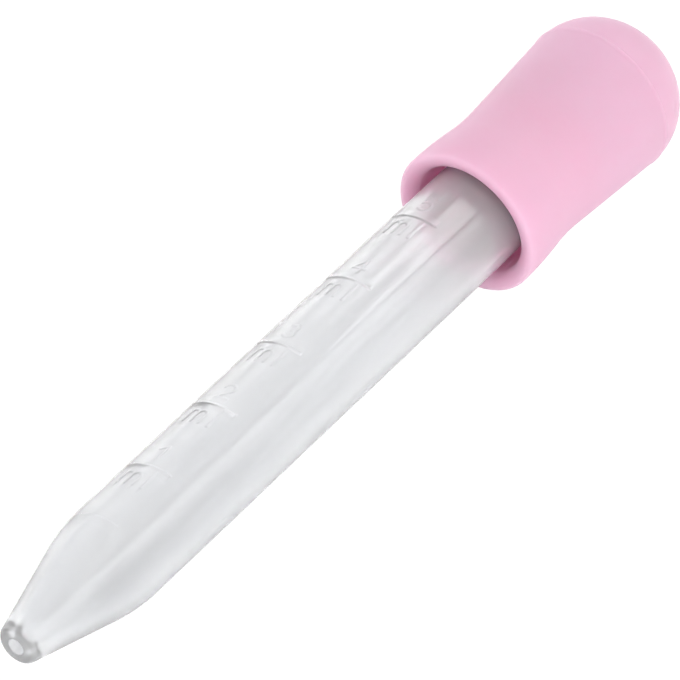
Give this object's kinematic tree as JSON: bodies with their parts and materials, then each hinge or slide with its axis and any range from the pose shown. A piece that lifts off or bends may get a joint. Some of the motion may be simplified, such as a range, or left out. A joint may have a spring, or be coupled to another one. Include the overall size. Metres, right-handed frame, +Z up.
{
  "type": "plastic dropper pipette",
  "caption": "Squeeze-bulb dropper pipette: a clear moulded tube with a conical nose and raised graduation marks, and a soft flared bulb pushed over its open end.",
  "frame": {"origin": "on the surface that it lies on, under the middle of its bounding box", "axes": "+X runs from the tip towards the bulb, +Z is up; the pipette's own axis rises 2.7 degrees towards the bulb"},
  "size_m": [0.1148, 0.019, 0.0197],
  "materials": {
    "clear_plastic": "clear moulded plastic, slightly frosty",
    "silicone": "satin pale pink silicone"
  },
  "bodies": {
    "root": {"tube": "clear_plastic", "bulb": "silicone"}
  },
  "joints": []
}
